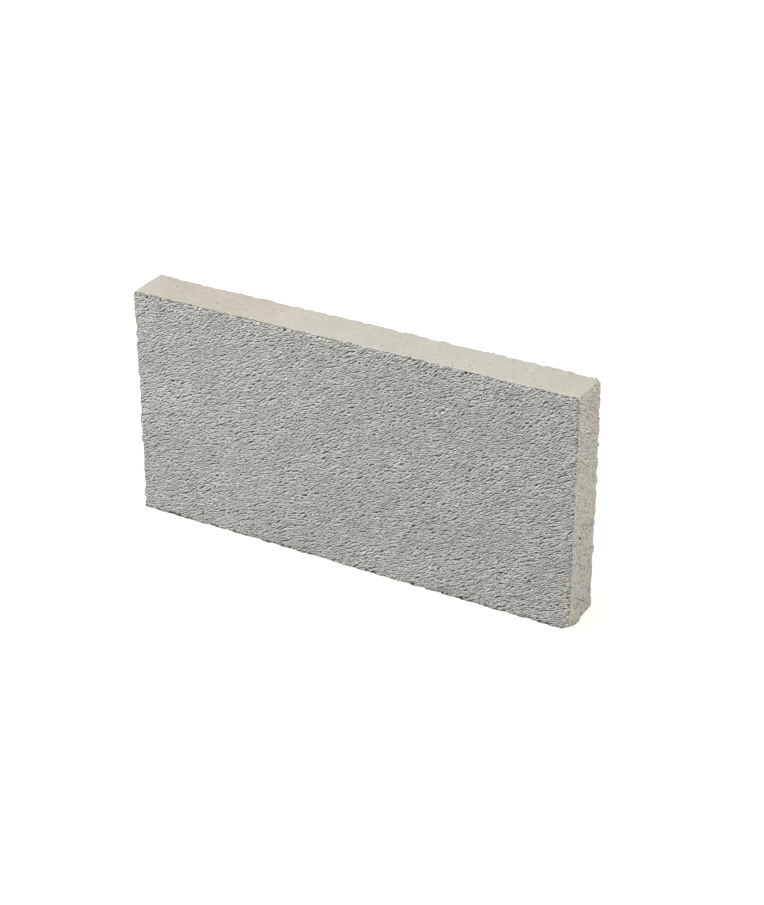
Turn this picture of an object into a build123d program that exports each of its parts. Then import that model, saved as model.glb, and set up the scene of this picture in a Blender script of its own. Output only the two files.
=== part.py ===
"""Aerated concrete partition block, standing on its long bed face.

X runs along the block, Y through its thickness and Z up. The origin is the middle of
the bed that it stands on. The two large faces (-Y and +Y) are wire cut, the two beds
(top and bottom) are smooth, and the two ends close the head joints of a wall.
All lengths are in millimetres.
"""

from build123d import *
from math import cos, hypot, radians, sin
from random import Random
import os

# Nominal size of the unit
LENGTH = 500.0
HEIGHT = 250.0
THICKNESS = 50.0

# Every arris is crumbled round by handling
ARRIS_RADIUS = 2.0

# A broken corner is cut off by a plane. It is named by the side of the block that it
# lies on along X, Y and Z, then by how far the break reaches along each of its edges.
BROKEN_CORNERS = {
    "front bottom right": ((1, -1, -1), (11.0, 17.0, 6.0)),
    "front top left": ((-1, -1, 1), (4.5, 24.0, 5.0)),
    "back top right": ((1, 1, 1), (6.0, 7.0, 5.0)),
    "back top left": ((-1, 1, 1), (4.0, 4.0, 4.0)),
    "back bottom right": ((1, 1, -1), (4.5, 5.0, 4.0)),
}

# Crumbs knocked out of the back top arris: distance from the left end, then radius
TOP_ARRIS_CHIPS = [(115.0, 2.6), (162.0, 3.4), (244.0, 2.4), (492.5, 3.2)]
CHIP_CENTRE_OUTSIDE = 0.45  # how far out of the arris a chip's centre is, in radii

# Open pores on the top bed: distance from the left end, from the front face, radius
TOP_PORES = [(241.5, 19.5, 1.3), (308.0, 14.5, 1.6), (458.5, 20.5, 1.7)]
PORE_CENTRE_ABOVE = 0.4  # how far above the bed a pore's centre is, in radii

# Marks on the right end, where the wire that cut it ran down from front to back. Each is
# a spindle-shaped hollow: its middle, from the front face and from the bottom, then its
# length and depth. The last is a large pore, drawn out the same way.
END_SLOPE = 37.0  # degrees below level
END_MARKS = [
    (23.5, 221.0, 19.0, 1.0),
    (38.0, 196.5, 14.0, 1.1),
    (25.5, 174.5, 14.0, 1.0),
    (26.5, 20.0, 36.0, 1.3),
    (20.5, 91.0, 8.0, 2.1),
]

# Pits on the front face of the same shape, drawn out along the wire's way there: the
# middle, from the left end and from the bottom, then the length and depth
FACE_RISE = 22.0  # degrees above level, to the right as seen from the front
FRONT_PITS = [
    (455.0, 42.0, 5.2, 1.6),
    (433.0, 33.0, 4.8, 1.2),
    (476.0, 25.0, 3.0, 1.4),
]

# The main creases that the wire dragged into both large faces. Each is a narrow hollow
# with flat sides, and a row of them lies every CREASE_PITCH up the face.
CREASE_LENGTH = 17.0
CREASE_WIDTH = 2.4
CREASE_DEPTH = 1.1
CREASE_PITCH = 21.0
CREASE_ROWS = 11
CREASES_IN_ROW = 11
CREASE_STRAY = 7.0  # how far a crease may be off its place in the row
CREASE_SWAY = 9.0  # degrees that it may turn off the wire's way
FLAT_MIDDLE = 18.0  # no crease is this close to the middle of a face


def break_plane(sides, reaches):
    """The plane that cuts one corner off, facing out of the block."""
    side_x, side_y, side_z = sides
    corner_z = HEIGHT if side_z > 0 else 0.0
    corner = Vector(side_x * LENGTH / 2, side_y * THICKNESS / 2, corner_z)
    outward = Vector(*(side / reach for side, reach in zip(sides, reaches)))
    on_x_edge = corner - Vector(side_x * reaches[0], 0, 0)
    return Plane(origin=on_x_edge, z_dir=outward)


def mark_plane(middle, along, outward):
    """A plane square to a face, with X along a mark and Y out of the block."""
    return Plane(origin=middle, x_dir=along, z_dir=along.cross(outward))


def crease_places(seed):
    """The middles of one face's creases, as seen from the front, and their rise."""
    stray = Random(seed)
    places = []
    for row in range(CREASE_ROWS):
        for place_in_row in range(CREASES_IN_ROW):
            # Each row stands half a step on from the row below it
            half_step = (0.5 if row % 2 else -0.5) * CREASE_PITCH
            step = 2 * CREASE_PITCH * (place_in_row - (CREASES_IN_ROW - 1) / 2)
            across = step + half_step + stray.uniform(-CREASE_STRAY, CREASE_STRAY)
            up = CREASE_PITCH * (row - (CREASE_ROWS - 1) / 2)
            up += stray.uniform(-CREASE_STRAY, CREASE_STRAY) / 2
            rise = FACE_RISE + stray.uniform(-CREASE_SWAY, CREASE_SWAY)
            if hypot(across, up) > FLAT_MIDDLE:
                places.append((across, up, rise))
    return places


# One crease: a long diamond on the face that narrows to a point below it
with BuildPart() as crease:
    with BuildSketch() as crease_mouth:
        Polygon(
            (-CREASE_LENGTH / 2, 0),
            (0, -CREASE_WIDTH / 2),
            (CREASE_LENGTH / 2, 0),
            (0, CREASE_WIDTH / 2),
        )
    loft([crease_mouth.sketch, Vertex(0, 0, -CREASE_DEPTH)])

with BuildPart() as block:
    # The sawn prism
    with BuildSketch():
        Rectangle(LENGTH, THICKNESS)
    extrude(amount=HEIGHT)

    # Broken corners, then the wear that softens every edge
    for corner_sides, corner_reaches in BROKEN_CORNERS.values():
        cut = break_plane(corner_sides, corner_reaches)
        split(bisect_by=cut, keep=Keep.BOTTOM)
    fillet(block.edges(), radius=ARRIS_RADIUS)

    # Creases on the front, then other ones on the back
    for side, seed in ((-1, 1), (1, 2)):
        face_middle = (0, side * THICKNESS / 2, HEIGHT / 2)
        face = Plane(origin=face_middle, x_dir=(-side, 0, 0), z_dir=(0, side, 0))
        crease_locations = [
            face.location * Location((-side * across, up), -side * rise)
            for across, up, rise in crease_places(seed)
        ]
        with Locations(*crease_locations):
            add(crease.part, mode=Mode.SUBTRACT)

    # Chips along the back top arris
    for from_left, chip_radius in TOP_ARRIS_CHIPS:
        outside = CHIP_CENTRE_OUTSIDE * chip_radius
        chip_centre = (
            from_left - LENGTH / 2,
            THICKNESS / 2 + outside,
            HEIGHT + outside,
        )
        with Locations(chip_centre):
            Sphere(chip_radius, mode=Mode.SUBTRACT)

    # Pores on the top bed
    for from_left, from_front, pore_radius in TOP_PORES:
        pore_centre = (
            from_left - LENGTH / 2,
            from_front - THICKNESS / 2,
            HEIGHT + PORE_CENTRE_ABOVE * pore_radius,
        )
        with Locations(pore_centre):
            Sphere(pore_radius, mode=Mode.SUBTRACT)

    # Wire marks on the right end and pits on the front, each turned about its own length
    down_end = Vector(0, cos(radians(END_SLOPE)), -sin(radians(END_SLOPE)))
    up_face = Vector(cos(radians(FACE_RISE)), 0, sin(radians(FACE_RISE)))
    marks = []
    for from_front, height, mark_length, mark_depth in END_MARKS:
        middle = (LENGTH / 2, from_front - THICKNESS / 2, height)
        marks.append((mark_plane(middle, down_end, Vector(1, 0, 0)), mark_length, mark_depth))
    for from_left, height, pit_length, pit_depth in FRONT_PITS:
        middle = (from_left - LENGTH / 2, -THICKNESS / 2, height)
        marks.append((mark_plane(middle, up_face, Vector(0, -1, 0)), pit_length, pit_depth))
    for plane, mark_length, mark_depth in marks:
        with BuildSketch(plane):
            with BuildLine():
                half = mark_length / 2
                Line((-half, 0), (half, 0))
                ThreePointArc((-half, 0), (0, -mark_depth), (half, 0))
            make_face()
        revolve(axis=Axis(plane.origin, plane.x_dir), mode=Mode.SUBTRACT)

block.part.label = "block"
os.makedirs("parts", exist_ok=True)
export_step(block.part, "parts/block.step")

size = block.part.bounding_box().size
print(f"block: {size.X:.2f} x {size.Y:.2f} x {size.Z:.2f} mm, {block.part.volume / 1e6:.4f} litres")
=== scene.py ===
from math import atan2, cos, hypot, pi, radians, sin
from random import Random

import bpy
from bpy.props import FloatProperty, FloatVectorProperty, IntProperty, PointerProperty
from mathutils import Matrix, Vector


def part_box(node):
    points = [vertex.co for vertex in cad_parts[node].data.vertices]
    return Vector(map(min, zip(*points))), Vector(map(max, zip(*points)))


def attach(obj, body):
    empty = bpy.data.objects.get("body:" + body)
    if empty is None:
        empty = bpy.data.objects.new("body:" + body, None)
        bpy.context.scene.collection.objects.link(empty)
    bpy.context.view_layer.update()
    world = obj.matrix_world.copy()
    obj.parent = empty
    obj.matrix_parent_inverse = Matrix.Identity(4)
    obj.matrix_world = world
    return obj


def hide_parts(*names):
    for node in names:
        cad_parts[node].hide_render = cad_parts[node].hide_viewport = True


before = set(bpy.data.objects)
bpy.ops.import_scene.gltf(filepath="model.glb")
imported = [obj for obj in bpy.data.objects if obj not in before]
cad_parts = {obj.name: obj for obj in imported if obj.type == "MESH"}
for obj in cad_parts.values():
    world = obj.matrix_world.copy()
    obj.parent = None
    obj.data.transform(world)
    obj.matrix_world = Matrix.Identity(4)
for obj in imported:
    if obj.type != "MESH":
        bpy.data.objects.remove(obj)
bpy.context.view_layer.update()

bl_info = {
    "name": "Aerated concrete block",
    "version": (1, 0, 0),
    "blender": (4, 5, 0),
    "location": "View3D > Sidebar > Block",
    "description": "Models and finishes a wire-cut aerated concrete block",
    "category": "Add Mesh",
}

BLOCK_LOW, BLOCK_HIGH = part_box("block")
BLOCK_SIZE = BLOCK_HIGH - BLOCK_LOW
BLOCK_MIDDLE = (BLOCK_HIGH + BLOCK_LOW) / 2
MM = 0.001  # the scene is in metres, and small sizes are written in millimetres


def linear(hex_colour):
    """The linear colour of an sRGB hex value such as CECBC0."""
    channels = [int(hex_colour[i : i + 2], 16) / 255 for i in (0, 2, 4)]
    return tuple(c / 12.92 if c <= 0.04045 else ((c + 0.055) / 1.055) ** 2.4 for c in channels)


def add_node(tree, kind, inputs=None, **settings):
    """Adds a node with its settings, links or sets its inputs, and returns its outputs."""
    node = tree.nodes.new(kind)
    for name, value in settings.items():
        setattr(node, name, value)
    for socket, value in (inputs or {}).items():
        if isinstance(value, bpy.types.NodeSocket):
            tree.links.new(value, node.inputs[socket])
        else:
            node.inputs[socket].default_value = value
    return node.outputs


# Corners broken off by a plane: the side of the block along X, Y and Z, then how far the
# break reaches along each edge, in millimetres
BROKEN_CORNERS = (
    ((1, -1, -1), (11.0, 17.0, 6.0)),
    ((-1, -1, 1), (3.4, 34.0, 4.5)),
    ((1, 1, 1), (6.0, 7.0, 5.0)),
    ((-1, 1, 1), (4.0, 4.0, 4.0)),
    ((1, 1, -1), (4.5, 5.0, 4.0)),
)

# Chips, pores and pits: a middle on the surface and three radii, in millimetres
CHIPS = (
    ((-135.0, 25.2, 250.2), (2.2, 2.2, 2.2)),
    ((-109.0, 25.6, 250.4), (1.6, 1.6, 1.6)),
    ((-88.0, 25.6, 250.8), (3.0, 2.4, 2.6)),
    ((-6.0, 25.4, 250.6), (2.0, 2.0, 2.0)),
    ((242.5, 26.4, 251.4), (3.2, 3.2, 3.2)),
    ((-8.5, -5.5, 250.5), (1.3, 1.3, 1.3)),
    ((58.0, -10.5, 250.6), (1.6, 1.6, 1.6)),
    ((208.5, -4.5, 250.7), (1.7, 1.7, 1.7)),
    ((205.0, -25.2, 42.0), (2.6, 1.8, 1.6)),
    ((201.0, -25.2, 44.5), (1.6, 1.5, 1.2)),
    ((183.0, -25.2, 33.0), (2.4, 1.6, 1.0)),
    ((226.0, -25.2, 25.0), (1.5, 1.7, 1.4)),
    ((248.0, -25.5, 27.0), (2.2, 2.2, 1.8)),
    ((249.2, -25.2, 234.5), (2.6, 2.2, 2.0)),
    ((249.4, -25.2, 205.0), (2.0, 2.0, 1.6)),
    ((249.4, -25.2, 138.0), (2.2, 2.0, 1.7)),
    ((249.4, -25.2, 128.0), (1.8, 1.8, 1.5)),
    ((-209.0, -25.4, 248.0), (1.7, 1.9, 1.6)),
    ((-190.0, -25.4, 247.8), (1.9, 1.9, 1.8)),
    ((-162.0, -25.4, 248.0), (2.2, 1.9, 1.7)),
    ((-117.0, -25.4, 248.2), (1.7, 1.9, 1.5)),
)

# The main creases of the large faces, in rows as in the solids, in millimetres
CREASE_SIZE = (17.0, 2.4, 1.1)
CREASE_CLEARANCE = 0.1  # how far a crease's body stands out of the face, in depths
CREASE_SEEDS = ((-1, 1), (1, 2))  # the side of the block along Y, then the seed
CREASE_PITCH = 21.0
CREASE_ROWS = 11
CREASES_IN_ROW = 11
CREASE_STRAY = 7.0  # how far a crease may be off its place in the row
CREASE_SWAY = 9.0  # degrees that it may turn off the wire's way
FACE_RISE = 22.0  # degrees above level, to the right as seen from the front
FLAT_MIDDLE = 18.0  # no crease is this close to the middle of a face

# Marks on the right end where the wire ran down to the back: the two ends, as Y and Z, then
# the depth, in millimetres. The last but one is a long crease and the last a large pore.
WIRE_MARKS = (
    ((-16.5, 231.0), (5.0, 214.0), 1.7),
    ((-8.0, 209.5), (9.0, 196.5), 1.7),
    ((-10.0, 184.5), (4.0, 172.0), 1.9),
    ((-23.0, 173.0), (-13.5, 164.0), 1.6),
    ((-24.0, 40.0), (23.0, 6.0), 2.2),
    ((-11.5, 99.0), (-5.0, 92.0), 3.4),
)
MARK_THINNESS = 0.42  # half the width of a mark, in depths
WIRE_SLOPE = radians(37)  # how far below level the wire ran over the ends

# The ridges' line waves over a width, by so much along and across them
RIDGE_WAVERS = (
    (50 * MM, (0, 10 * MM, 0)),
    (11 * MM, (0, 4 * MM, 0)),
    (2.8 * MM, (1.8 * MM, 1.6 * MM, 0)),
)

# The ends have been torn less than the large faces
END_SQUEEZE = 0.55  # squeezing the pattern draws what it makes out to nearly twice the length
END_RIDGES_FADE = (190.0, 120.0)  # the ridges fade out between these heights, in millimetres
END_RIDGES_LEFT = 0.06  # what is left of them below
# Their painted crease shade and painted ridge highlight:
END_CONTRAST = 0.45  # their contrast, against those of the large faces
END_RIDGE_HIGHLIGHT = 1.38  # the same for their brightness

# The line between a face and its neighbours, in millimetres
MASK_GRAIN = 3.5  # width of its wanderings
MASK_WANDER = 1.8  # how far it wanders to either side
MASK_FADE = 0.5
CUT_OVERLAP = 1.2  # how far the cut relief runs on over an arris
FACE_OVERLAP = 0.5  # how far the finish of a large face does
END_OVERLAP = 1.0  # how far the finish of an end does

# Pits just inside the level arrises of the large faces, in millimetres. Those of the foot
# have a line of their own, and are larger and shallower.
PIT_SPACING = 8.0
PIT_LINES = (1.0, 4.0)  # how far from the arris they stand
PIT_RADII = (-0.6, 1.4)  # where the radius is below nothing there is no pit
PIT_DEPTH = 2.2
FOOT_PIT_LINE = 1.1
FOOT_PIT_GAIN = 1.2
FOOT_PIT_DEPTH = 0.8

# The crumbled arrises, in millimetres
CRUMBLED_BAND = 4.5  # how far in from an arris the crumbling reaches
UNEVEN_WIDTH = 9.0
LUMP_WIDTH = 12.0
KNOCKED_BAND = 8.0  # how far from the ends the arrises have had more knocks
LEVEL_SHARE = 0.35  # what the level arrises have of the upright ones' crumbling
LEFT_END = -238.0  # the arrises beyond this X are those of the left end
LEFT_WEAR = 0.4  # what they have lost besides
PROUD_HEIGHTS = (218.0, 222.0)  # they are worn below the first and proud above the second
PROUD_SHARE = 0.8  # how much of the crumbling they are spared there

# The finish, in millimetres
STAIN_MIDDLE = -155.0  # where along the bed the stain is
STAIN_WANDER = 60.0
STAIN_REACH = (55.0, 105.0)  # how far from its middle it begins to fade, and is gone
CLOUDS = ((60.0, 0.04), (9.0, 0.03))  # a width, then how much darker or paler
SPECKLE_WIDTH = 1.3
GRAIN_WIDTH = 1.4
BUBBLE_SPACING = 4.5
BUBBLE_DEPTH = 0.5
END_PORE_SPACING = 2.3
END_PORE_DEPTH = 0.8

FLOOR_WIDTH = 8.0


class BlockSizes(bpy.types.PropertyGroup):
    """Sizes of the block's wear and relief."""

    arris_wear: FloatProperty(
        name="Arris wear",
        description="Width that handling has crumbled off the edges",
        default=1.2 * MM,
        unit="LENGTH",
    )
    crumbling: FloatProperty(
        name="Crumbling",
        description="Depth of the deepest crumbled places along an upright arris",
        default=4.5 * MM,
        unit="LENGTH",
    )
    voxel: FloatProperty(
        name="Voxel",
        description="Spacing of the fine mesh that the relief is cut in",
        default=0.7 * MM,
        unit="LENGTH",
    )
    ridge_spacing: FloatProperty(
        name="Ridge spacing",
        description="Distance across the wire-cut ridges of the large faces",
        default=1.95 * MM,
        unit="LENGTH",
    )
    ridge_length: FloatProperty(
        name="Ridge length",
        description="Usual length of one ridge",
        default=3.5 * MM,
        unit="LENGTH",
    )
    ridge_depth: FloatProperty(
        name="Ridge depth",
        description="Depth of the creases between the ridges",
        default=2.0 * MM,
        unit="LENGTH",
    )
    end_ridge_depth: FloatProperty(
        name="End ridge depth",
        description="Depth of the creases on the ends",
        default=1.2 * MM,
        unit="LENGTH",
    )
    fine_depth: FloatProperty(
        name="Fine depth",
        description="What the finish adds to the depth of the creases, finer than the mesh",
        default=1.3 * MM,
        unit="LENGTH",
    )
    grain: FloatProperty(
        name="Grain",
        description="Height of the sandy grain",
        default=0.35 * MM,
        unit="LENGTH",
    )
    ridge_rise: FloatProperty(
        name="Ridge rise",
        description="Angle at which the ridges rise to the right on the front face",
        default=radians(27),
        subtype="ANGLE",
    )
    most_triangles: IntProperty(
        name="Most triangles",
        description="Number of triangles that the finished mesh is thinned to",
        default=190000,
    )


class BlockColours(bpy.types.PropertyGroup):
    """Colours of the block, with the painted shade of the creases and the painted highlight of the
    ridges.
    """

    bed: FloatVectorProperty(
        name="Bed",
        description="Cream of the smooth beds",
        subtype="COLOR",
        default=linear("D3D0C3"),
    )
    stain: FloatVectorProperty(
        name="Stain",
        description="Warm cream of the stain on the top bed",
        subtype="COLOR",
        default=linear("D0C9BC"),
    )
    wire_cut: FloatVectorProperty(
        name="Wire cut",
        description="Pale grey of the wire-cut large faces",
        subtype="COLOR",
        default=linear("CECDC7"),
    )
    end: FloatVectorProperty(
        name="End",
        description="Cream of the ends",
        subtype="COLOR",
        default=linear("D3CEC0"),
    )
    # Painted shade: the bottom of each crease between ridges is darkened in the colour
    crease: FloatProperty(
        name="Crease",
        description="How much light is left in the bottom of a crease between ridges",
        default=0.0,
        subtype="FACTOR",
    )
    # Painted highlight: the upper side of each ridge, which faces the lamps, is painted paler
    ridge_highlight: FloatProperty(
        name="Highlight",
        description="How much paler the lamplit upper side of a ridge is than its face",
        default=1.62,
    )


class StageSettings(bpy.types.PropertyGroup):
    """Camera, lights and floor."""

    azimuth: FloatProperty(
        name="Azimuth",
        description="How far to the right of the front face's middle the camera stands",
        default=radians(29.98),
        subtype="ANGLE",
    )
    elevation: FloatProperty(
        name="Elevation",
        description="How far above level the camera stands",
        default=radians(27.5),
        subtype="ANGLE",
    )
    distance: FloatProperty(
        name="Distance",
        description="From the camera to the point that it looks at",
        default=2.1585,
        unit="LENGTH",
    )
    target: FloatVectorProperty(
        name="Target",
        description="The point that the camera looks at",
        default=(0.0283, -0.0017, 0.12695),
        subtype="XYZ",
        unit="LENGTH",
    )
    lens: FloatProperty(
        name="Lens",
        description="Focal length on a sensor with a long side of 36 mm",
        default=86.73,
    )
    sky: FloatProperty(
        name="Sky",
        description="Strength of the even light from all round",
        default=0.25,
    )
    overhead: FloatProperty(
        name="Overhead",
        description="Power of the soft light above the block",
        default=7.8,
        unit="POWER",
    )
    left: FloatProperty(
        name="Left",
        description="Power of the soft light in front on the left",
        default=13.0,
        unit="POWER",
    )
    right: FloatProperty(
        name="Right",
        description="Power of the soft light on the right",
        default=9.3,
        unit="POWER",
    )
    lamp_width: FloatProperty(
        name="Lamp width",
        description="Width of the round face of each soft light",
        default=0.9,
        unit="LENGTH",
    )


def cut_off(side, reach):
    """Cuts one corner off the mesh in edit mode by a plane, and closes the cut."""
    side = Vector(side)
    corner = BLOCK_MIDDLE + side * BLOCK_SIZE / 2
    on_edge = corner - Vector((side.x * reach[0] * MM, 0, 0))
    outward = Vector([s / r for s, r in zip(side, reach)])
    bpy.ops.mesh.select_all(action="SELECT")
    bpy.ops.mesh.bisect(plane_co=on_edge, plane_no=outward, use_fill=True, clear_outer=True)


def add_hollow(place, radii, slope=0.0):
    """Adds a rounded body that is to be taken out of the block, in millimetres."""
    bpy.ops.mesh.primitive_ico_sphere_add(
        subdivisions=3,
        radius=1,
        location=[p * MM for p in place],
        rotation=(-slope, 0, 0),
        scale=[r * MM for r in radii],
    )
    return bpy.context.object


def crease_places(seed):
    """The middles of one large face's creases, as seen from the front, and their rise."""
    stray = Random(seed)
    places = []
    for row in range(CREASE_ROWS):
        for place_in_row in range(CREASES_IN_ROW):
            half_step = (0.5 if row % 2 else -0.5) * CREASE_PITCH
            step = 2 * CREASE_PITCH * (place_in_row - (CREASES_IN_ROW - 1) / 2)
            across = step + half_step + stray.uniform(-CREASE_STRAY, CREASE_STRAY)
            up = CREASE_PITCH * (row - (CREASE_ROWS - 1) / 2)
            up += stray.uniform(-CREASE_STRAY, CREASE_STRAY) / 2
            rise = FACE_RISE + stray.uniform(-CREASE_SWAY, CREASE_SWAY)
            if hypot(across, up) > FLAT_MIDDLE:
                places.append((across, up, radians(rise)))
    return places


def add_crease(side, across, up, rise):
    """Adds the body of one crease of the front (side -1) or the back, to be taken out."""
    # It starts outside the face, so that the cut is clean
    length, width, depth = ((1 + CREASE_CLEARANCE) * MM * s for s in CREASE_SIZE)
    middle_out = BLOCK_SIZE.y / 2 + CREASE_CLEARANCE * CREASE_SIZE[2] * MM - depth / 2
    bpy.ops.mesh.primitive_cone_add(
        vertices=4,
        radius1=0.5,
        radius2=0,
        depth=1,
        location=(across * MM, side * middle_out, BLOCK_MIDDLE.z + up * MM),
        rotation=(side * pi / 2, -rise, 0),
        scale=(length, width, depth),
    )
    return bpy.context.object


def apply_modifier(block, name, kind, **settings):
    """Adds a modifier with its settings and applies it."""
    modifier = block.modifiers.new(name, kind)
    for setting, value in settings.items():
        setattr(modifier, setting, value)
    bpy.ops.object.modifier_apply(modifier=name)


def block_form(sizes):
    """The sawn block with its broken corners and its hollows, before the relief."""
    bpy.ops.object.select_all(action="DESELECT")
    bpy.ops.mesh.primitive_cube_add(size=1, location=BLOCK_MIDDLE, scale=BLOCK_SIZE)
    block = bpy.context.object
    block.name = "aerated_block"
    bpy.ops.object.transform_apply(location=True, rotation=True, scale=True)
    bpy.ops.object.mode_set(mode="EDIT")
    bpy.ops.mesh.select_all(action="SELECT")
    bpy.ops.mesh.bevel(offset=sizes.arris_wear, segments=3, affect="EDGES")
    for side, reach in BROKEN_CORNERS:
        cut_off(side, reach)
    bpy.ops.object.mode_set(mode="OBJECT")

    # Chips, pores and wire marks, taken out in one cut
    bpy.ops.object.select_all(action="DESELECT")
    hollows = [add_hollow(place, radii) for place, radii in CHIPS]
    for (front, top), (back, bottom), depth in WIRE_MARKS:
        middle = (BLOCK_HIGH.x / MM, (front + back) / 2, (top + bottom) / 2)
        radii = (depth, hypot(back - front, top - bottom) / 2, MARK_THINNESS * depth)
        hollows.append(add_hollow(middle, radii, atan2(top - bottom, back - front)))
    for side, seed in CREASE_SEEDS:
        hollows += [add_crease(side, *place) for place in crease_places(seed)]
    for hollow in hollows:
        hollow.select_set(True)
    bpy.ops.object.join()
    cutter = bpy.context.object
    bpy.ops.object.select_all(action="DESELECT")
    bpy.context.view_layer.objects.active = block
    block.select_set(True)
    apply_modifier(
        block, "hollows", "BOOLEAN", operation="DIFFERENCE", object=cutter, use_self=True
    )
    bpy.data.objects.remove(cutter)
    return block


def add_ridges(tree, along, across, sizes):
    """Wire-cut ridges: their height (0 in a crease, 1 on a crest), strength and phase.

    They are short, and lie over each other downwards like scales: below a crease the stone
    swells out slowly, and then drops sharply under the lip of the ridge.
    """
    flat = add_node(tree, "ShaderNodeCombineXYZ", {"X": along, "Y": across})[0]
    # Their rise varies over the face and from row to row, and the ridges' edges are ragged
    for width, sway in RIDGE_WAVERS:
        waver = add_node(
            tree, "ShaderNodeTexNoise", {"Vector": flat, "Scale": 1 / width, "Detail": 1.0}
        )["Color"]
        waver = add_node(
            tree, "ShaderNodeVectorMath", {0: waver, 1: (0.5, 0.5, 0.5)}, operation="SUBTRACT"
        )[0]
        flat = add_node(
            tree, "ShaderNodeVectorMath", {0: waver, 1: sway, 2: flat}, operation="MULTIPLY_ADD"
        )[0]
    flat = add_node(
        tree,
        "ShaderNodeVectorMath",
        {0: flat, 1: (1 / sizes.ridge_length, 1 / sizes.ridge_spacing, 1)},
        operation="MULTIPLY",
    )[0]
    cell = add_node(
        tree,
        "ShaderNodeTexVoronoi",
        {"Vector": flat, "Scale": 1.0, "Randomness": 0.75},
        voronoi_dimensions="2D",
    )
    phase = add_node(
        tree, "ShaderNodeVectorMath", {0: cell["Position"], 1: flat}, operation="SUBTRACT"
    )[0]
    phase = add_node(tree, "ShaderNodeSeparateXYZ", {0: phase})["Y"]
    phase = add_node(
        tree, "ShaderNodeMath", {0: phase, 1: 0.5}, operation="ADD", use_clamp=True
    )[0]
    swell = add_node(
        tree,
        "ShaderNodeMapRange",
        {"Value": phase, "From Max": 0.5},
        interpolation_type="SMOOTHSTEP",
    )[0]
    lip = add_node(
        tree,
        "ShaderNodeMapRange",
        {"Value": phase, "From Min": 0.8, "To Min": 1.0, "To Max": 0.3},
        interpolation_type="SMOOTHSTEP",
    )[0]
    height = add_node(tree, "ShaderNodeMath", {0: swell, 1: lip}, operation="MULTIPLY")[0]
    # Some ridges are only half as strong as the others
    chance = add_node(tree, "ShaderNodeSeparateXYZ", {0: cell["Color"]})["X"]
    strength = add_node(
        tree, "ShaderNodeMapRange", {"Value": chance, "From Max": 0.7, "To Min": 0.5}
    )[0]
    return height, strength, phase


def add_large_face_ridges(tree, place, sizes):
    """The ridges of the two large faces, which rise to the right as seen from the front."""
    side = add_node(tree, "ShaderNodeSeparateXYZ", {0: place})["Y"]
    side = add_node(tree, "ShaderNodeMath", {0: side}, operation="SIGN")[0]
    turned = add_node(
        tree,
        "ShaderNodeVectorRotate",
        {"Vector": place, "Angle": sizes.ridge_rise},
        rotation_type="Y_AXIS",
    )[0]
    turned = add_node(tree, "ShaderNodeSeparateXYZ", {0: turned})
    # The two faces are cut alike but not the same
    along = add_node(tree, "ShaderNodeMath", {0: turned["X"], 1: side}, operation="ADD")[0]
    return add_ridges(tree, along, turned["Z"], sizes)


def add_end_ridges(tree, place, sizes):
    """The ridges of the two ends, which fall to the back and fade out below half height."""
    side = add_node(tree, "ShaderNodeSeparateXYZ", {0: place})
    end = add_node(tree, "ShaderNodeMath", {0: side["X"]}, operation="SIGN")[0]
    turned = add_node(
        tree,
        "ShaderNodeVectorRotate",
        {"Vector": place, "Angle": WIRE_SLOPE},
        rotation_type="X_AXIS",
    )[0]
    turned = add_node(tree, "ShaderNodeSeparateXYZ", {0: turned})
    along = add_node(
        tree, "ShaderNodeMath", {0: turned["Y"], 1: END_SQUEEZE, 2: end}, operation="MULTIPLY_ADD"
    )[0]
    height, strength, phase = add_ridges(tree, along, turned["Z"], sizes)
    fade_from, fade_to = END_RIDGES_FADE
    upper = add_node(
        tree,
        "ShaderNodeMapRange",
        {
            "Value": side["Z"],
            "From Min": fade_to * MM,
            "From Max": fade_from * MM,
            "To Min": END_RIDGES_LEFT,
        },
        interpolation_type="SMOOTHSTEP",
    )[0]
    strength = add_node(tree, "ShaderNodeMath", {0: strength, 1: upper}, operation="MULTIPLY")[0]
    return height, strength, phase


def add_depths(tree, place):
    """How deep a place lies behind the nearer one of each pair of the block's planes."""
    off_middle = add_node(
        tree, "ShaderNodeVectorMath", {0: place, 1: BLOCK_MIDDLE}, operation="SUBTRACT"
    )[0]
    off_middle = add_node(tree, "ShaderNodeVectorMath", {0: off_middle}, operation="ABSOLUTE")[0]
    deep = add_node(
        tree, "ShaderNodeVectorMath", {0: BLOCK_SIZE / 2, 1: off_middle}, operation="SUBTRACT"
    )[0]
    return add_node(tree, "ShaderNodeSeparateXYZ", {0: deep})


def add_mask(tree, place, own, others, overlap):
    """One on the faces that own gives the depth behind, and nothing on the others.

    The line between them wanders, and overlap moves it onto the others.
    """
    other = add_node(tree, "ShaderNodeMath", {0: others[0], 1: others[1]}, operation="MINIMUM")[0]
    ragged = add_node(
        tree,
        "ShaderNodeTexNoise",
        {"Vector": place, "Scale": 1 / (MASK_GRAIN * MM), "Detail": 3.0},
    )[0]
    ragged = add_node(
        tree,
        "ShaderNodeMapRange",
        {
            "Value": ragged,
            "From Min": 0.3,
            "From Max": 0.7,
            "To Min": -MASK_WANDER * MM,
            "To Max": MASK_WANDER * MM,
        },
    )[0]
    lead = add_node(tree, "ShaderNodeMath", {0: other, 1: own}, operation="SUBTRACT")[0]
    lead = add_node(tree, "ShaderNodeMath", {0: lead, 1: ragged}, operation="ADD")[0]
    return add_node(
        tree,
        "ShaderNodeMapRange",
        {
            "Value": lead,
            "From Min": -overlap * MM,
            "From Max": (MASK_FADE - overlap) * MM,
        },
        interpolation_type="SMOOTHSTEP",
    )[0]


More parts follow.
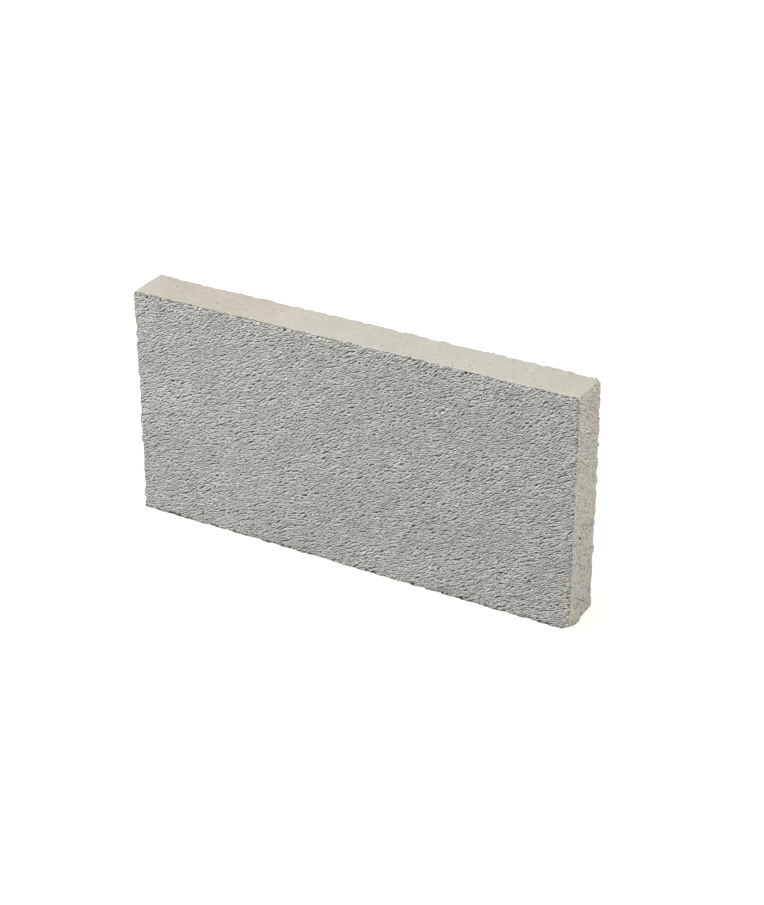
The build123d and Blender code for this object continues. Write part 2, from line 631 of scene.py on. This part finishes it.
def add_arris_pits(tree, place, deep):
    """One in the pits that stand in a row just inside the level arrises of a large face.

    The second value is one in the lower half of the block, where the pits have broken out
    of the arris.
    """
    spot = add_node(tree, "ShaderNodeSeparateXYZ", {0: place})
    spacing = PIT_SPACING * MM
    along = add_node(
        tree, "ShaderNodeMath", {0: spot["X"], 1: 1 / spacing}, operation="MULTIPLY"
    )[0]
    pit = add_node(
        tree, "ShaderNodeTexVoronoi", {"W": along, "Scale": 1.0}, voronoi_dimensions="1D"
    )
    chance = add_node(tree, "ShaderNodeSeparateXYZ", {0: pit["Color"]})
    aside = add_node(
        tree, "ShaderNodeMath", {0: pit["Distance"], 1: spacing}, operation="MULTIPLY"
    )[0]
    nearest, furthest = PIT_LINES
    line = add_node(
        tree,
        "ShaderNodeMapRange",
        {"Value": chance["X"], "To Min": nearest * MM, "To Max": furthest * MM},
    )[0]
    foot = add_node(
        tree, "ShaderNodeMath", {0: spot["Z"], 1: BLOCK_MIDDLE.z}, operation="LESS_THAN"
    )[0]
    line = add_node(tree, "ShaderNodeMix", {0: foot, 2: line, 3: FOOT_PIT_LINE * MM})[0]
    below = add_node(tree, "ShaderNodeMath", {0: deep["Z"], 1: line}, operation="SUBTRACT")[0]
    off = add_node(tree, "ShaderNodeCombineXYZ", {"X": aside, "Y": below})[0]
    off = add_node(tree, "ShaderNodeVectorMath", {0: off}, operation="LENGTH")["Value"]
    smallest, largest = PIT_RADII
    width = add_node(
        tree,
        "ShaderNodeMapRange",
        {
            "Value": chance["Y"],
            "From Min": 0.2,
            "To Min": smallest * MM,
            "To Max": largest * MM,
        },
    )[0]
    width = add_node(
        tree, "ShaderNodeMath", {0: foot, 1: FOOT_PIT_GAIN * MM, 2: width}, operation="MULTIPLY_ADD"
    )[0]
    rim = add_node(tree, "ShaderNodeMath", {0: width, 1: off}, operation="SUBTRACT")[0]
    pit = add_node(
        tree, "ShaderNodeMapRange", {"Value": rim, "From Min": -0.4 * MM, "From Max": 0.5 * MM}
    )[0]
    return pit, foot


def new_geometry_tree(name):
    """An empty geometry nodes tree with its way in and way out."""
    tree = bpy.data.node_groups.new(name, "GeometryNodeTree")
    tree.interface.new_socket("Geometry", in_out="INPUT", socket_type="NodeSocketGeometry")
    tree.interface.new_socket("Geometry", in_out="OUTPUT", socket_type="NodeSocketGeometry")
    return tree


def add_nearness(tree, deep):
    """One on an arris, fading to nothing where the crumbling ends."""
    # An arris is as far off as the middle one of the three depths
    low = add_node(tree, "ShaderNodeMath", {0: deep["X"], 1: deep["Y"]}, operation="MINIMUM")[0]
    high = add_node(tree, "ShaderNodeMath", {0: deep["X"], 1: deep["Y"]}, operation="MAXIMUM")[0]
    to_arris = add_node(tree, "ShaderNodeMath", {0: high, 1: deep["Z"]}, operation="MINIMUM")[0]
    to_arris = add_node(tree, "ShaderNodeMath", {0: to_arris, 1: low}, operation="MAXIMUM")[0]
    return add_node(
        tree,
        "ShaderNodeMapRange",
        {"Value": to_arris, "From Max": CRUMBLED_BAND * MM, "To Min": 1.0, "To Max": 0.0},
        interpolation_type="SMOOTHSTEP",
    )[0]


def add_crumbling(tree, place, deep, by_arris, sizes):
    """How deep the arrises have crumbled, where by_arris says how near one is."""
    # Lumps stand between the places where crumbs have gone, and between lumps the arris is
    # notched
    uneven = add_node(
        tree,
        "ShaderNodeTexNoise",
        {"Vector": place, "Scale": 1 / (UNEVEN_WIDTH * MM), "Detail": 3.0, "Roughness": 0.55},
    )[0]
    lump = add_node(
        tree, "ShaderNodeTexVoronoi", {"Vector": place, "Scale": 1 / (LUMP_WIDTH * MM)}
    )["Distance"]
    crumbled = add_node(
        tree, "ShaderNodeMath", {0: uneven, 1: 1.4, 2: lump}, operation="MULTIPLY_ADD"
    )[0]
    crumbled = add_node(
        tree, "ShaderNodeMapRange", {"Value": crumbled, "From Min": 1.05, "From Max": 1.65}
    )[0]
    # The upright arrises have had more knocks than the level ones
    knocks = add_node(
        tree,
        "ShaderNodeMapRange",
        {
            "Value": deep["X"],
            "From Max": KNOCKED_BAND * MM,
            "To Min": sizes.crumbling,
            "To Max": LEVEL_SHARE * sizes.crumbling,
        },
    )[0]
    crumbled = add_node(tree, "ShaderNodeMath", {0: crumbled, 1: knocks}, operation="MULTIPLY")[0]
    # The arrises of the left end stand proud near the top, and have lost a little more below
    spot = add_node(tree, "ShaderNodeSeparateXYZ", {0: place})
    worn_to, proud_from = PROUD_HEIGHTS
    proud = add_node(
        tree,
        "ShaderNodeMapRange",
        {"Value": spot["Z"], "From Min": worn_to * MM, "From Max": proud_from * MM},
    )[0]
    left = add_node(
        tree, "ShaderNodeMath", {0: spot["X"], 1: LEFT_END * MM}, operation="LESS_THAN"
    )[0]
    worn = add_node(
        tree, "ShaderNodeMix", {0: proud, 2: LEFT_WEAR * MM, 3: -PROUD_SHARE * sizes.crumbling}
    )[0]
    crumbled = add_node(
        tree, "ShaderNodeMath", {0: worn, 1: left, 2: crumbled}, operation="MULTIPLY_ADD"
    )[0]
    crumbled = add_node(tree, "ShaderNodeMath", {0: crumbled, 1: 0.0}, operation="MAXIMUM")[0]
    return add_node(tree, "ShaderNodeMath", {0: crumbled, 1: by_arris}, operation="MULTIPLY")[0]


def relief_tree(sizes):
    """The geometry nodes that crumble the arrises and cut the ridges into the faces."""
    tree = new_geometry_tree("relief")
    start = add_node(tree, "NodeGroupInput")
    place = add_node(tree, "GeometryNodeInputPosition")[0]
    normal = add_node(tree, "GeometryNodeInputNormal")[0]
    deep = add_depths(tree, place)
    by_arris = add_nearness(tree, deep)
    depth = add_crumbling(tree, place, deep, by_arris, sizes)

    # The pits inside the level arrises
    pits, foot = add_arris_pits(tree, place, deep)
    on_face = add_mask(tree, place, deep["Y"], (deep["X"], deep["Z"]), CUT_OVERLAP)
    pits = add_node(tree, "ShaderNodeMath", {0: pits, 1: on_face}, operation="MULTIPLY")[0]
    pit_depth = add_node(
        tree, "ShaderNodeMix", {0: foot, 2: PIT_DEPTH * MM, 3: FOOT_PIT_DEPTH * MM}
    )[0]
    depth = add_node(
        tree, "ShaderNodeMath", {0: pits, 1: pit_depth, 2: depth}, operation="MULTIPLY_ADD"
    )[0]

    # The creases between the ridges, which are notched deeper where they run out over an arris
    notched = add_node(
        tree, "ShaderNodeMath", {0: by_arris, 1: 0.3, 2: 1.0}, operation="MULTIPLY_ADD"
    )[0]
    ridges = (
        (add_large_face_ridges, deep["Y"], (deep["X"], deep["Z"]), sizes.ridge_depth),
        (add_end_ridges, deep["X"], (deep["Y"], deep["Z"]), sizes.end_ridge_depth),
    )
    for add_its_ridges, own, others, ridge_depth in ridges:
        height, strength, _ = add_its_ridges(tree, place, sizes)
        mask = add_mask(tree, place, own, others, CUT_OVERLAP)
        crease = add_node(tree, "ShaderNodeMath", {0: 1.0, 1: height}, operation="SUBTRACT")[0]
        for share in (strength, mask, notched):
            crease = add_node(
                tree, "ShaderNodeMath", {0: crease, 1: share}, operation="MULTIPLY"
            )[0]
        depth = add_node(
            tree, "ShaderNodeMath", {0: crease, 1: ridge_depth, 2: depth}, operation="MULTIPLY_ADD"
        )[0]
    depth = add_node(tree, "ShaderNodeMath", {0: depth, 1: -1.0}, operation="MULTIPLY")[0]
    offset = add_node(
        tree, "ShaderNodeVectorMath", {0: normal, "Scale": depth}, operation="SCALE"
    )[0]
    shaped = add_node(tree, "GeometryNodeSetPosition", {"Geometry": start[0], "Offset": offset})[0]
    add_node(tree, "NodeGroupOutput", {0: shaped})
    return tree


def box_tree():
    """The geometry nodes that drop folded faces and keep every point inside the block's box."""
    tree = new_geometry_tree("keep_in_box")
    start = add_node(tree, "NodeGroupInput")
    # Only the tip of two faces that lie on each other has fewer than three neighbours
    neighbours = add_node(tree, "GeometryNodeInputMeshVertexNeighbors")["Vertex Count"]
    folded = add_node(tree, "ShaderNodeMath", {0: neighbours, 1: 2.5}, operation="LESS_THAN")[0]
    clean = add_node(
        tree,
        "GeometryNodeDeleteGeometry",
        {"Geometry": start[0], "Selection": folded},
        domain="POINT",
    )[0]
    place = add_node(tree, "GeometryNodeInputPosition")[0]
    inside = add_node(
        tree, "ShaderNodeVectorMath", {0: place, 1: BLOCK_LOW}, operation="MAXIMUM"
    )[0]
    inside = add_node(
        tree, "ShaderNodeVectorMath", {0: inside, 1: BLOCK_HIGH}, operation="MINIMUM"
    )[0]
    kept = add_node(tree, "GeometryNodeSetPosition", {"Geometry": clean, "Position": inside})[0]
    add_node(tree, "NodeGroupOutput", {0: kept})
    return tree


def close_holes():
    """Closes the holes that the folded faces left in the active mesh, and faces it outwards."""
    bpy.ops.object.mode_set(mode="EDIT")
    bpy.ops.mesh.select_all(action="SELECT")
    bpy.ops.mesh.fill_holes(sides=3)
    bpy.ops.mesh.select_all(action="SELECT")
    bpy.ops.mesh.normals_make_consistent(inside=False)
    bpy.ops.object.mode_set(mode="OBJECT")


def add_colour(tree, place, face, end, colours):
    """Cream on the beds and the ends, grey on the large faces, and a stain on the top bed."""
    # The faint warm stain is on the left half of the bed
    spot = add_node(tree, "ShaderNodeSeparateXYZ", {0: place})
    ragged = add_node(
        tree, "ShaderNodeTexNoise", {"Vector": place, "Scale": 1 / (30 * MM), "Detail": 3.0}
    )[0]
    stain = add_node(
        tree,
        "ShaderNodeMath",
        {0: ragged, 1: STAIN_WANDER * MM, 2: spot["X"]},
        operation="MULTIPLY_ADD",
    )[0]
    # The noise is a half on average
    off_middle = (-STAIN_MIDDLE - STAIN_WANDER / 2) * MM
    stain = add_node(tree, "ShaderNodeMath", {0: stain, 1: off_middle}, operation="ADD")[0]
    stain = add_node(tree, "ShaderNodeMath", {0: stain}, operation="ABSOLUTE")[0]
    whole_to, gone_at = STAIN_REACH
    stain = add_node(
        tree,
        "ShaderNodeMapRange",
        {
            "Value": stain,
            "From Min": whole_to * MM,
            "From Max": gone_at * MM,
            "To Min": 1.0,
            "To Max": 0.0,
        },
        interpolation_type="SMOOTHSTEP",
    )[0]
    on_top = add_node(
        tree, "ShaderNodeMath", {0: spot["Z"], 1: BLOCK_MIDDLE.z}, operation="GREATER_THAN"
    )[0]
    stain = add_node(tree, "ShaderNodeMath", {0: stain, 1: on_top}, operation="MULTIPLY")[0]

    shade = (*colours.bed, 1)
    for mask, colour in ((stain, colours.stain), (end, colours.end), (face, colours.wire_cut)):
        shade = add_node(
            tree, "ShaderNodeMix", {0: mask, 6: shade, 7: (*colour, 1)}, data_type="RGBA"
        )[2]
    return shade


def add_tone(tree, place, face, end):
    """Clouds from the uneven mix, and speckles of sand that show most where the wire tore it."""
    torn = add_node(tree, "ShaderNodeMath", {0: end, 1: 0.04, 2: 0.09}, operation="MULTIPLY_ADD")[0]
    torn = add_node(tree, "ShaderNodeMath", {0: face, 1: 0.2, 2: torn}, operation="MULTIPLY_ADD")[0]
    speckle = add_node(
        tree,
        "ShaderNodeTexNoise",
        {"Vector": place, "Scale": 1 / (SPECKLE_WIDTH * MM), "Detail": 1.0},
    )[0]
    speckle = add_node(
        tree,
        "ShaderNodeMapRange",
        {"Value": speckle, "From Min": 0.35, "From Max": 0.65, "To Min": -1.0},
    )[0]
    tone = add_node(
        tree, "ShaderNodeMath", {0: speckle, 1: torn, 2: 1.0}, operation="MULTIPLY_ADD"
    )[0]
    for width, spread in CLOUDS:
        cloud = add_node(
            tree, "ShaderNodeTexNoise", {"Vector": place, "Scale": 1 / (width * MM), "Detail": 2.0}
        )[0]
        cloud = add_node(
            tree,
            "ShaderNodeMapRange",
            {
                "Value": cloud,
                "From Min": 0.3,
                "From Max": 0.7,
                "To Min": 1 - spread,
                "To Max": 1 + spread,
            },
        )[0]
        tone = add_node(tree, "ShaderNodeMath", {0: tone, 1: cloud}, operation="MULTIPLY")[0]
    return tone


def add_grain(tree, place, sizes):
    """The height of the crushed sand's grain, in millimetres."""
    grain = add_node(
        tree,
        "ShaderNodeTexNoise",
        {"Vector": place, "Scale": 1 / (GRAIN_WIDTH * MM), "Detail": 2.0, "Roughness": 0.6},
    )[0]
    return add_node(
        tree, "ShaderNodeMath", {0: grain, 1: sizes.grain / MM}, operation="MULTIPLY"
    )[0]


def add_bubbles(tree, place, face, end, tone, relief):
    """Puts the open bubbles that leave pores into the relief, and paints shade into them in the
    tone.
    """
    bubble = add_node(
        tree, "ShaderNodeTexVoronoi", {"Vector": place, "Scale": 1 / (BUBBLE_SPACING * MM)}
    )
    size = add_node(tree, "ShaderNodeSeparateXYZ", {0: bubble["Color"]})["X"]
    size = add_node(
        tree, "ShaderNodeMapRange", {"Value": size, "From Min": 0.5, "To Min": 0.0, "To Max": 0.2}
    )[0]
    pore = add_node(
        tree, "ShaderNodeMath", {0: size, 1: bubble["Distance"]}, operation="SUBTRACT"
    )[0]
    pore = add_node(tree, "ShaderNodeMapRange", {"Value": pore, "From Max": 0.05})[0]
    relief = add_node(
        tree, "ShaderNodeMath", {0: pore, 1: -BUBBLE_DEPTH, 2: relief}, operation="MULTIPLY_ADD"
    )[0]
    # Painted shade in the pores, a little less where the wire tore the face
    torn = add_node(tree, "ShaderNodeMath", {0: end, 1: face}, operation="MAXIMUM")[0]
    hole = add_node(
        tree, "ShaderNodeMath", {0: torn, 1: -0.1, 2: 0.75}, operation="MULTIPLY_ADD"
    )[0]
    hole = add_node(tree, "ShaderNodeMath", {0: pore, 1: hole}, operation="MULTIPLY")[0]
    hole = add_node(tree, "ShaderNodeMath", {0: 1.0, 1: hole}, operation="SUBTRACT")[0]
    tone = add_node(tree, "ShaderNodeMath", {0: tone, 1: hole}, operation="MULTIPLY")[0]
    return tone, relief


def add_end_pores(tree, place, end, tone, relief):
    """Puts the ends' many fine pores, drawn out along the wire's way, into the relief, and paints
    shade into them in the tone.
    """
    turned = add_node(
        tree,
        "ShaderNodeVectorRotate",
        {"Vector": place, "Angle": WIRE_SLOPE},
        rotation_type="X_AXIS",
    )[0]
    turned = add_node(
        tree, "ShaderNodeVectorMath", {0: turned, 1: (1, END_SQUEEZE, 1)}, operation="MULTIPLY"
    )[0]
    fine = add_node(
        tree, "ShaderNodeTexVoronoi", {"Vector": turned, "Scale": 1 / (END_PORE_SPACING * MM)}
    )
    size = add_node(tree, "ShaderNodeSeparateXYZ", {0: fine["Color"]})["X"]
    size = add_node(
        tree, "ShaderNodeMapRange", {"Value": size, "From Min": 0.35, "To Max": 0.52}
    )[0]
    fine = add_node(
        tree, "ShaderNodeMath", {0: size, 1: fine["Distance"]}, operation="SUBTRACT"
    )[0]
    fine = add_node(tree, "ShaderNodeMapRange", {"Value": fine, "From Max": 0.16})[0]
    fine = add_node(tree, "ShaderNodeMath", {0: fine, 1: end}, operation="MULTIPLY")[0]
    relief = add_node(
        tree, "ShaderNodeMath", {0: fine, 1: -END_PORE_DEPTH, 2: relief}, operation="MULTIPLY_ADD"
    )[0]
    # Painted shade in the pores
    hole = add_node(tree, "ShaderNodeMapRange", {"Value": fine, "To Min": 1.0, "To Max": 0.5})[0]
    tone = add_node(tree, "ShaderNodeMath", {0: tone, 1: hole}, operation="MULTIPLY")[0]
    return tone, relief


def add_painted_hollow_shade(tree, deep, tone):
    """Paints shade into the bottom of the marks and open pores of the ends and the beds."""
    low = add_node(tree, "ShaderNodeMath", {0: deep["X"], 1: deep["Z"]}, operation="MINIMUM")[0]
    hole = add_node(
        tree,
        "ShaderNodeMapRange",
        {"Value": low, "From Min": 0.9 * MM, "From Max": 1.9 * MM, "To Max": 0.65},
    )[0]
    # Not near the arrises, where the wear is as deep as a mark
    inside = add_node(tree, "ShaderNodeMath", {0: deep["X"], 1: deep["Z"]}, operation="MAXIMUM")[0]
    inside = add_node(tree, "ShaderNodeMath", {0: inside, 1: deep["Y"]}, operation="MINIMUM")[0]
    inside = add_node(
        tree, "ShaderNodeMapRange", {"Value": inside, "From Min": 3 * MM, "From Max": 6 * MM}
    )[0]
    hole = add_node(tree, "ShaderNodeMath", {0: hole, 1: inside}, operation="MULTIPLY")[0]
    hole = add_node(tree, "ShaderNodeMath", {0: 1.0, 1: hole}, operation="SUBTRACT")[0]
    return add_node(tree, "ShaderNodeMath", {0: tone, 1: hole}, operation="MULTIPLY")[0]


def add_painted_arris_shade(tree, place, deep, face, tone):
    """Paints shade into the pits along the arrises, round the foot and on the broken corner there.
    """
    # Those of the foot get painted shade right round under it, and the foot's own arris gets
    # painted shade too
    pits, foot = add_arris_pits(tree, place, deep)
    painted_foot_shade = add_node(
        tree,
        "ShaderNodeMapRange",
        {
            "Value": deep["Z"],
            "From Min": 0.5 * MM,
            "From Max": 2.0 * MM,
            "To Min": 0.4,
            "To Max": 0.0,
        },
    )[0]
    pits = add_node(tree, "ShaderNodeMath", {0: pits, 1: painted_foot_shade}, operation="MAXIMUM")[0]
    under = add_node(
        tree,
        "ShaderNodeMapRange",
        {
            "Value": deep["Y"],
            "From Min": 4 * MM,
            "From Max": 5 * MM,
            "To Min": 1.0,
            "To Max": 0.0,
        },
    )[0]
    under = add_node(tree, "ShaderNodeMath", {0: under, 1: foot}, operation="MULTIPLY")[0]
    under = add_node(tree, "ShaderNodeMath", {0: under, 1: face}, operation="MAXIMUM")[0]
    pits = add_node(tree, "ShaderNodeMath", {0: pits, 1: under}, operation="MULTIPLY")[0]

    # The underside of the broken corner gets painted shade. The product is one on the break.
    side, reach = BROKEN_CORNERS[0]
    corner = BLOCK_MIDDLE + Vector(side) * BLOCK_SIZE / 2
    inward = Vector([-s / (r * MM) for s, r in zip(side, reach)])
    off_break = add_node(
        tree, "ShaderNodeVectorMath", {0: place, 1: corner}, operation="SUBTRACT"
    )[0]
    off_break = add_node(
        tree, "ShaderNodeVectorMath", {0: off_break, 1: inward}, operation="DOT_PRODUCT"
    )["Value"]
    underside = add_node(
        tree,
        "ShaderNodeMapRange",
        {"Value": off_break, "From Min": 1.1, "From Max": 1.4, "To Min": 0.65, "To Max": 0.0},
    )[0]
    dark = add_node(tree, "ShaderNodeMath", {0: pits, 1: underside}, operation="MAXIMUM")[0]
    light = add_node(tree, "ShaderNodeMapRange", {"Value": dark, "To Min": 1.0, "To Max": 0.2})[0]
    return add_node(tree, "ShaderNodeMath", {0: tone, 1: light}, operation="MULTIPLY")[0]


def add_torn_faces(tree, place, masks, sizes, colours, tone, relief):
    """Puts the ridges of the large faces and the ends into the tone and the relief.

    The creases get painted shade, and the upper side of each ridge, which faces the lamps, gets a
    painted highlight.
    """
    face, end = masks
    for add_its_ridges, mask, share, gain in (
        (add_large_face_ridges, face, 1.0, 1.0),
        (add_end_ridges, end, END_CONTRAST, END_RIDGE_HIGHLIGHT),
    ):
        height, strength, phase = add_its_ridges(tree, place, sizes)
        strength = add_node(
            tree, "ShaderNodeMath", {0: strength, 1: share}, operation="MULTIPLY"
        )[0]
        strength = add_node(
            tree, "ShaderNodeMath", {0: strength, 1: mask}, operation="MULTIPLY"
        )[0]
        # Painted shade in the creases, and a painted highlight on the upper side of each ridge
        crease = add_node(
            tree,
            "ShaderNodeMapRange",
            {
                "Value": height,
                "From Max": 0.6,
                "To Min": gain * colours.crease,
                "To Max": gain * colours.ridge_highlight,
            },
        )[0]
        fade = add_node(
            tree,
            "ShaderNodeMapRange",
            {
                "Value": phase,
                "From Min": 0.35,
                "From Max": 0.7,
                "To Min": 1.0,
                "To Max": 1 / colours.ridge_highlight,
            },
            interpolation_type="SMOOTHSTEP",
        )[0]
        crease = add_node(tree, "ShaderNodeMath", {0: crease, 1: fade}, operation="MULTIPLY")[0]
        crease = add_node(tree, "ShaderNodeMix", {0: strength, 2: 1.0, 3: crease})[0]
        tone = add_node(tree, "ShaderNodeMath", {0: tone, 1: crease}, operation="MULTIPLY")[0]
        lump = add_node(tree, "ShaderNodeMath", {0: height, 1: strength}, operation="MULTIPLY")[0]
        relief = add_node(
            tree,
            "ShaderNodeMath",
            {0: lump, 1: sizes.fine_depth / MM, 2: relief},
            operation="MULTIPLY_ADD",
        )[0]
    return tone, relief


def concrete(sizes, colours):
    """Autoclaved aerated concrete."""
    # Lime and cement foamed with fine bubbles, wire cut and steamed hard: chalky and dull
    material = bpy.data.materials.new("autoclaved_aerated_concrete")
    material.use_nodes = True
    tree = material.node_tree
    shader = tree.nodes["Principled BSDF"]
    place = add_node(tree, "ShaderNodeTexCoord")["Object"]
    deep = add_depths(tree, place)
    face = add_mask(tree, place, deep["Y"], (deep["X"], deep["Z"]), FACE_OVERLAP)
    end = add_mask(tree, place, deep["X"], (deep["Y"], deep["Z"]), END_OVERLAP)

    shade = add_colour(tree, place, face, end, colours)
    tone = add_tone(tree, place, face, end)
    relief = add_grain(tree, place, sizes)
    tone, relief = add_bubbles(tree, place, face, end, tone, relief)
    tone, relief = add_end_pores(tree, place, end, tone, relief)
    tone = add_painted_hollow_shade(tree, deep, tone)
    tone = add_painted_arris_shade(tree, place, deep, face, tone)
    tone, relief = add_torn_faces(tree, place, (face, end), sizes, colours, tone, relief)

    shade = add_node(tree, "ShaderNodeVectorMath", {0: shade, "Scale": tone}, operation="SCALE")[0]
    tree.links.new(shade, shader.inputs["Base Color"])
    bump = add_node(tree, "ShaderNodeBump", {"Height": relief, "Distance": MM, "Strength": 1.0})[0]
    tree.links.new(bump, shader.inputs["Normal"])
    shader.inputs["Roughness"].default_value = 0.95
    shader.inputs["Specular IOR Level"].default_value = 0.2
    return material


def add_seen_directly(tree):
    """One for what the camera, a mirror or glass looks at, and nothing for spread light."""
    rays = add_node(tree, "ShaderNodeLightPath")
    seen = rays["Is Camera Ray"]
    for ray in ("Is Glossy Ray", "Is Transmission Ray"):
        seen = add_node(tree, "ShaderNodeMath", {0: seen, 1: rays[ray]}, operation="MAXIMUM")[0]
    return seen


def white_paper():
    """Matt white paper."""
    # Where it is looked at it is bleached out, and keeps only a faint shadow by the block
    material = bpy.data.materials.new("white_paper")
    material.use_nodes = True
    tree = material.node_tree
    paper = tree.nodes["Principled BSDF"]
    paper.inputs["Base Color"].default_value = (*linear("D3D3D3"), 1)
    paper.inputs["Roughness"].default_value = 1
    shadow = add_node(tree, "ShaderNodeBsdfDiffuse", {"Color": (*linear("AAAAAA"), 1)})[0]
    place = add_node(tree, "ShaderNodeTexCoord")["Object"]
    far = add_node(tree, "ShaderNodeVectorMath", {0: place}, operation="LENGTH")["Value"]
    far = add_node(
        tree, "ShaderNodeMapRange", {"Value": far, "From Min": 0.3, "From Max": 0.8}
    )[0]
    glow = add_node(
        tree,
        "ShaderNodeMix",
        {0: far, 6: (*linear("E8E6DF"), 1), 7: (*linear("FFFFFF"), 1)},
        data_type="RGBA",
    )[2]
    glow = add_node(tree, "ShaderNodeEmission", {"Color": glow})[0]
    bleached = add_node(tree, "ShaderNodeAddShader", {0: shadow, 1: glow})[0]
    seen = add_seen_directly(tree)
    both = add_node(tree, "ShaderNodeMixShader", {0: seen, 1: paper.outputs[0], 2: bleached})[0]
    tree.links.new(both, tree.nodes["Material Output"].inputs["Surface"])
    return material


def studio_world(sky):
    """A white world that lights the block by sky, and is white where it is looked at."""
    world = bpy.data.worlds.new("studio")
    world.use_nodes = True
    tree = world.node_tree
    seen = add_seen_directly(tree)
    strength = add_node(
        tree, "ShaderNodeMapRange", {"Value": seen, "To Min": sky, "To Max": 1.0}
    )[0]
    background = tree.nodes["Background"]
    background.inputs["Color"].default_value = (1, 1, 1, 1)
    tree.links.new(strength, background.inputs["Strength"])
    return world


class AERATED_OT_block(bpy.types.Operator):
    """Model the block and give it its finish"""

    bl_idname = "aerated.block"
    bl_label = "Block"

    def execute(self, context):
        sizes = context.scene.block_sizes
        block = block_form(sizes)
        apply_modifier(block, "fine_mesh", "REMESH", mode="VOXEL", voxel_size=sizes.voxel)
        apply_modifier(block, "relief", "NODES", node_group=relief_tree(sizes))
        triangles = 2 * len(block.data.polygons)
        apply_modifier(block, "thin", "DECIMATE", ratio=sizes.most_triangles / triangles)
        apply_modifier(block, "box", "NODES", node_group=box_tree())
        close_holes()
        bpy.ops.object.shade_smooth()
        apply_modifier(block, "flat_beds", "WEIGHTED_NORMAL", keep_sharp=True, weight=60)
        block.data.materials.append(concrete(sizes, context.scene.block_colours))
        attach(block, "root")
        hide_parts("block")
        return {"FINISHED"}


class AERATED_OT_stage(bpy.types.Operator):
    """Set the floor, the lights and the camera"""

    bl_idname = "aerated.stage"
    bl_label = "Stage"

    def execute(self, context):
        stage = context.scene.stage_settings
        scene = context.scene
        scene.view_settings.view_transform = "Standard"

        # The camera
        back = Vector(
            (
                sin(stage.azimuth) * cos(stage.elevation),
                -cos(stage.azimuth) * cos(stage.elevation),
                sin(stage.elevation),
            )
        )
        target = Vector(stage.target)
        bpy.ops.object.camera_add(location=target + back * stage.distance)
        camera = context.object
        camera.rotation_euler = back.to_track_quat("Z", "Y").to_euler()
        camera.data.lens = stage.lens
        scene.camera = camera

        # The floor
        bpy.ops.mesh.primitive_plane_add(size=FLOOR_WIDTH, location=(0, 0, 0))
        floor = context.object
        floor.name = "floor"
        floor.data.materials.append(white_paper())

        # The lights: where each one stands, then its power
        scene.world = studio_world(stage.sky)
        lamps = (
            ((0, 0, 1.6), stage.overhead),
            ((-1.0, -1.0, 1.0), stage.left),
            ((1.5, -0.5, 0.8), stage.right),
        )
        for place, power in lamps:
            bpy.ops.object.light_add(type="AREA", location=place)
            lamp = context.object
            lamp.data.shape = "DISK"
            lamp.data.size = stage.lamp_width
            lamp.data.energy = power
            away = Vector(place) - BLOCK_MIDDLE
            lamp.rotation_euler = away.to_track_quat("Z", "Y").to_euler()
        return {"FINISHED"}


class AERATED_PT_panel(bpy.types.Panel):
    """Lists what makes the block"""

    bl_label = "Aerated concrete block"
    bl_space_type = "VIEW_3D"
    bl_region_type = "UI"
    bl_category = "Block"

    def draw(self, context):
        scene = context.scene
        for group in (scene.block_sizes, scene.block_colours, scene.stage_settings):
            for name in group.__annotations__:
                self.layout.prop(group, name)
        self.layout.operator(AERATED_OT_block.bl_idname)
        self.layout.operator(AERATED_OT_stage.bl_idname)


CLASSES = (
    BlockSizes,
    BlockColours,
    StageSettings,
    AERATED_OT_block,
    AERATED_OT_stage,
    AERATED_PT_panel,
)


def register():
    for one_class in CLASSES:
        bpy.utils.register_class(one_class)
    bpy.types.Scene.block_sizes = PointerProperty(type=BlockSizes)
    bpy.types.Scene.block_colours = PointerProperty(type=BlockColours)
    bpy.types.Scene.stage_settings = PointerProperty(type=StageSettings)


def unregister():
    del bpy.types.Scene.stage_settings
    del bpy.types.Scene.block_colours
    del bpy.types.Scene.block_sizes
    for one_class in reversed(CLASSES):
        bpy.utils.unregister_class(one_class)


def main():
    register()
    bpy.ops.aerated.stage()
    bpy.ops.aerated.block()


if __name__ == "__main__":
    main()
